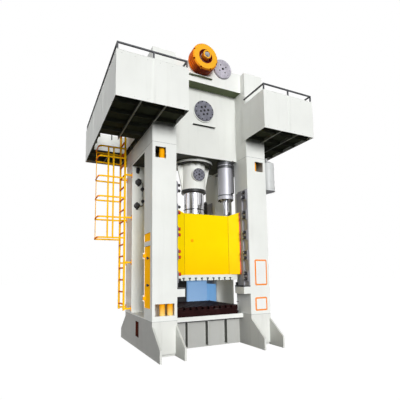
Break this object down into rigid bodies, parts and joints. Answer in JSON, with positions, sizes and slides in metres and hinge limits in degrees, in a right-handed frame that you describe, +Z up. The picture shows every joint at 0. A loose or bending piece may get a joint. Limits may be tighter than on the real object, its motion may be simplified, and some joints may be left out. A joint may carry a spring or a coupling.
{
  "type": "trimming press",
  "caption": "Straight-side trimming press: crank-driven slide on a central plunger between hollow uprights, geared crown with brake and flywheel, service galleries and a caged ladder.",
  "frame": {"origin": "on the floor, in the middle of the anchor bolt pattern, under the centre of the frame", "axes": "+X to the right seen from the front, +Y to the rear, +Z up"},
  "size_m": [4.695, 3.95, 7.2543],
  "materials": {
    "paint_white": "satin pale grey-white paint",
    "paint_yellow": "gloss signal yellow paint",
    "paint_orange": "gloss orange paint",
    "steel_grey": "machined",
    "polished": "polished",
    "alloy": "bright machined",
    "dark_steel": "dark oiled steel",
    "motor_paint": "satin grey paint",
    "bolster_iron": "dark brown oiled iron",
    "blue_sheet": "light blue sheet",
    "belt_rubber": "matt",
    "black_plastic": "matt"
  },
  "bodies": {
    "frame": {"bed": "paint_white", "table_plate": "paint_white", "bolster": "bolster_iron", "left_upright": "paint_white", "right_upright": "paint_white", "crown": "paint_white", "gear_cover": "paint_white", "tie_rods": "paint_yellow", "tie_rod_nuts": "steel_grey", "guide_housing": "paint_white", "guide_bolts": "dark_steel", "guide_cover": "steel_grey", "seal_ring": "dark_steel", "gib_front_left": "dark_steel", "gib_front_right": "dark_steel", "gib_rear_left": "dark_steel", "gib_rear_right": "dark_steel", "gib_bolts": "steel_grey", "balance_cylinder_front": "alloy", "balance_cylinder_rear": "alloy", "side_beam_left": "paint_white", "side_beam_right": "paint_white", "beam_pads": "dark_steel", "rear_guard_frame": "dark_steel", "rear_guard_leaf": "blue_sheet", "left_floor": "paint_white", "left_panels": "paint_white", "left_rail": "dark_steel", "right_floor": "paint_white", "right_panels": "paint_white", "right_rail": "dark_steel", "ladder": "paint_orange", "ladder_cage": "paint_yellow", "crank_covers": "steel_grey", "shaft_covers": "alloy", "bearing_caps": "paint_white", "brake_drum": "paint_orange", "motor": "motor_paint", "drive_belts": "belt_rubber", "door_hinges": "dark_steel", "service_cover": "paint_yellow", "air_tank": "alloy", "tank_caps": "dark_steel", "tank_bracket": "dark_steel"},
    "slide": {"slide": "paint_yellow", "clamp_plate": "steel_grey", "plunger": "polished", "balance_rod_front": "steel_grey", "balance_rod_rear": "steel_grey"},
    "crank": {"crankshaft": "steel_grey", "crank_gear": "steel_grey"},
    "pitman": {"pitman": "steel_grey"},
    "intermediate": {"intermediate_shaft": "steel_grey", "intermediate_gear": "steel_grey"},
    "drive": {"drive_shaft": "steel_grey", "brake_hub": "steel_grey"},
    "flywheel": {"flywheel": "dark_steel"},
    "motor_rotor": {"motor_pulley": "dark_steel"},
    "door": {"service_door": "paint_yellow", "door_knobs": "black_plastic"}
  },
  "joints": [
    {"name": "crank_turn", "type": "hinge", "parent": "frame", "child": "crank", "pos_m": [0, 0, 5.58504], "axis": [0, 1, 0], "range_deg": [0, 180]},
    {"name": "slide_stroke", "type": "slide", "parent": "frame", "child": "slide", "axis": [0, 0, 1], "range_m": [-0.24, 0]},
    {"name": "pitman_pivot", "type": "hinge", "parent": "crank", "child": "pitman", "pos_m": [0, 0, 5.70504], "axis": [0, 1, 0], "range_deg": [-180, 0]},
    {"name": "intermediate_turn", "type": "hinge", "parent": "frame", "child": "intermediate", "pos_m": [0.39, 0, 6.62], "axis": [0, 1, 0], "range_deg": [-840, 0]},
    {"name": "drive_turn", "type": "hinge", "parent": "frame", "child": "drive", "pos_m": [-0.21, 0, 6.62], "axis": [0, 1, 0], "range_deg": [0, 2750]},
    {"name": "flywheel_spin", "type": "hinge", "parent": "frame", "child": "flywheel", "pos_m": [-0.21, 0, 6.62], "axis": [0, 1, 0], "continuous": true},
    {"name": "motor_spin", "type": "hinge", "parent": "frame", "child": "motor_rotor", "pos_m": [1.18, 0, 6.85], "axis": [0, 1, 0], "continuous": true},
    {"name": "door_hinge", "type": "hinge", "parent": "frame", "child": "door", "pos_m": [-1.464, -0.525, 1.6], "axis": [0, 0, -1], "range_deg": [0, 110]}
  ],
  "couplings": [
    {"joint": "slide_stroke", "follows": "crank_turn", "m_per_rad": -0.07639},
    {"joint": "pitman_pivot", "follows": "crank_turn", "ratio": -1},
    {"joint": "intermediate_turn", "follows": "crank_turn", "ratio": -4.6429},
    {"joint": "drive_turn", "follows": "crank_turn", "ratio": 15.255},
    {"joint": "motor_spin", "follows": "flywheel_spin", "ratio": 5.1667}
  ]
}
